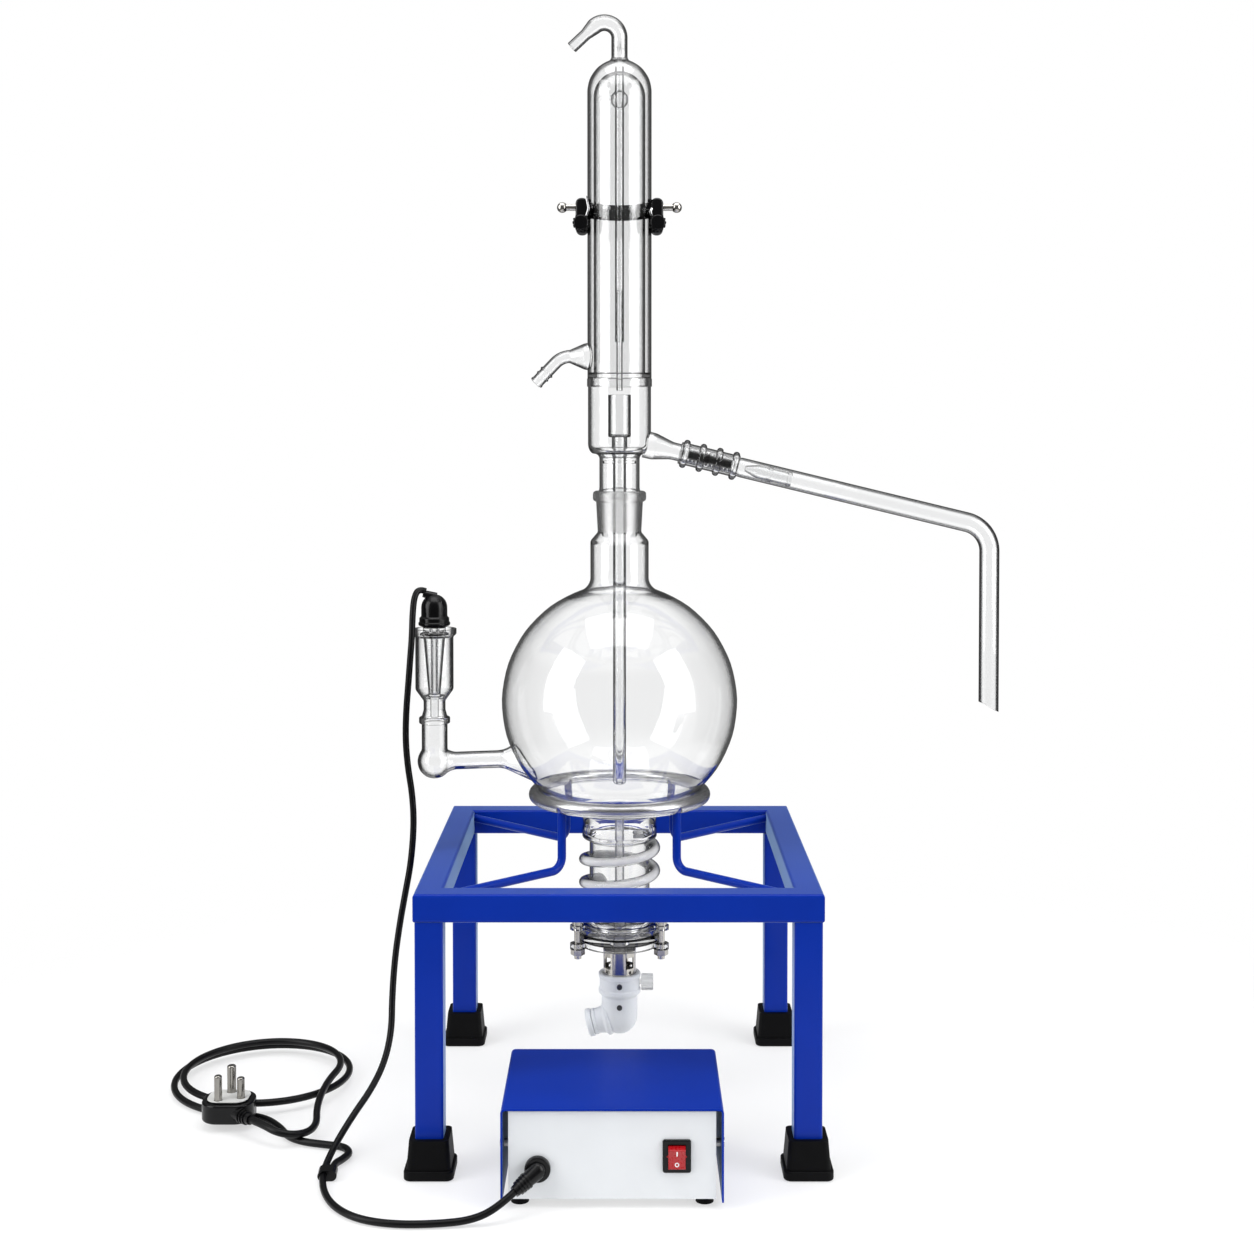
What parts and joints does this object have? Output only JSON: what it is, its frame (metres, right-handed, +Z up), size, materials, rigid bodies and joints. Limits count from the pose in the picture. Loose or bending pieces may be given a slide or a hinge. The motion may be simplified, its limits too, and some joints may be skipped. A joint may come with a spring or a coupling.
{
  "type": "glass water distiller",
  "caption": "Bench water distiller: round boiling flask on a blue square stand, upright condenser, sloping delivery tube, level probe and a switched control box on leads.",
  "frame": {"origin": "on the floor under the middle of the box that the distiller fills without its leads and plug", "axes": "+Z up along the glass column, -Y towards the front where the control box stands, +X towards the delivery tube"},
  "size_m": [0.816, 0.4669, 1.0546],
  "materials": {
    "stand_paint": "satin powder coat",
    "foot_rubber": "matt",
    "steel": "bright drawn",
    "ring_silicone": "translucent, satin",
    "glass": "clear",
    "heater_glass": "clear over a dark winding",
    "black_plastic": "satin",
    "seal_rubber": "matt",
    "bright_metal": "plated",
    "drain_glass": "clear",
    "valve_white": "glossy",
    "knob_plastic": "translucent",
    "cover_paint": "satin powder coat",
    "panel_paint": "fine matt texture",
    "zinc_sheet": "zinc plated",
    "red_plastic": "glossy",
    "board": "satin",
    "cord_sheath": "satin"
  },
  "bodies": {
    "base": {"front_rail": "stand_paint", "back_rail": "stand_paint", "left_rail": "stand_paint", "right_rail": "stand_paint", "front_left_leg": "stand_paint", "front_right_leg": "stand_paint", "back_left_leg": "stand_paint", "back_right_leg": "stand_paint", "rubber_feet": "foot_rubber", "support_rods": "stand_paint", "support_ring": "steel", "ring_cushion": "ring_silicone", "boiling_flask": "glass", "heater_coil": "heater_glass", "probe_sheath": "glass", "electrodes": "steel", "probe_stopper": "seal_rubber", "probe_cap": "seal_rubber", "flange_gasket": "seal_rubber", "closure_plate": "glass", "drain_tube": "drain_glass", "clamp_ring": "bright_metal", "backing_ring": "drain_glass", "flange_studs": "steel", "adapter_sleeve": "bright_metal", "valve_screws": "steel", "drain_valve_body": "valve_white", "drain_cap": "valve_white", "box_cover": "cover_paint", "box_chassis": "zinc_sheet", "front_panel": "panel_paint", "box_feet": "foot_rubber", "cover_screws": "steel", "switch_bezel": "black_plastic", "cable_gland": "black_plastic", "control_board": "board", "probe_lead": "cord_sheath", "lead_splitter": "cord_sheath", "mains_lead": "cord_sheath", "mains_coil": "cord_sheath", "mains_lead_end": "cord_sheath", "plug_body": "black_plastic", "plug_pins": "bright_metal", "plug_boot": "cord_sheath"},
    "head": {"vapour_head": "glass", "feed_tube": "glass", "coupling_sleeve": "glass", "coupling_bush": "black_plastic"},
    "condenser": {"condenser_jacket": "glass", "condenser_tube": "glass", "water_downcomer": "glass", "drip_tube": "glass", "clamp_band": "bright_metal"},
    "delivery": {"delivery_tube": "glass"},
    "left_rod": {"left_clamp_rod": "bright_metal"},
    "right_rod": {"right_clamp_rod": "bright_metal"},
    "left_knob": {"left_clamp_knob": "black_plastic"},
    "right_knob": {"right_clamp_knob": "black_plastic"},
    "valve_knob": {"drain_knob": "knob_plastic"},
    "rocker": {"switch_rocker": "red_plastic"}
  },
  "joints": [
    {"name": "head_swivel", "type": "hinge", "parent": "base", "child": "head", "pos_m": [-0.08425, 0.03649, 0.575], "axis": [0, 0, 1], "range_deg": [-30, 30]},
    {"name": "condenser_lift", "type": "slide", "parent": "head", "child": "condenser", "axis": [0, 0, 1], "range_m": [0, 0.12]},
    {"name": "delivery_swivel", "type": "hinge", "parent": "head", "child": "delivery", "pos_m": [0.01606, 0.03649, 0.62286], "axis": [0.972, 0, -0.2351], "range_deg": [-20, 20]},
    {"name": "left_rod_turn", "type": "hinge", "parent": "condenser", "child": "left_rod", "pos_m": [-0.12925, 0.03149, 0.869], "axis": [1, 0, 0], "continuous": true},
    {"name": "right_rod_turn", "type": "hinge", "parent": "condenser", "child": "right_rod", "pos_m": [-0.03925, 0.03149, 0.869], "axis": [1, 0, 0], "continuous": true},
    {"name": "left_knob_turn", "type": "hinge", "parent": "condenser", "child": "left_knob", "pos_m": [-0.12075, 0.01649, 0.852], "axis": [0, 1, 0], "continuous": true},
    {"name": "right_knob_turn", "type": "hinge", "parent": "condenser", "child": "right_knob", "pos_m": [-0.04775, 0.01649, 0.852], "axis": [0, 1, 0], "continuous": true},
    {"name": "drain_knob_turn", "type": "hinge", "parent": "base", "child": "valve_knob", "pos_m": [-0.05925, 0.03649, 0.116], "axis": [1, 0, 0], "range_deg": [0, 270]},
    {"name": "rocker_tip", "type": "hinge", "parent": "base", "child": "rocker", "pos_m": [-0.03505, -0.20391, 0.0448], "axis": [-1, 0, 0], "range_deg": [0, 20]}
  ]
}
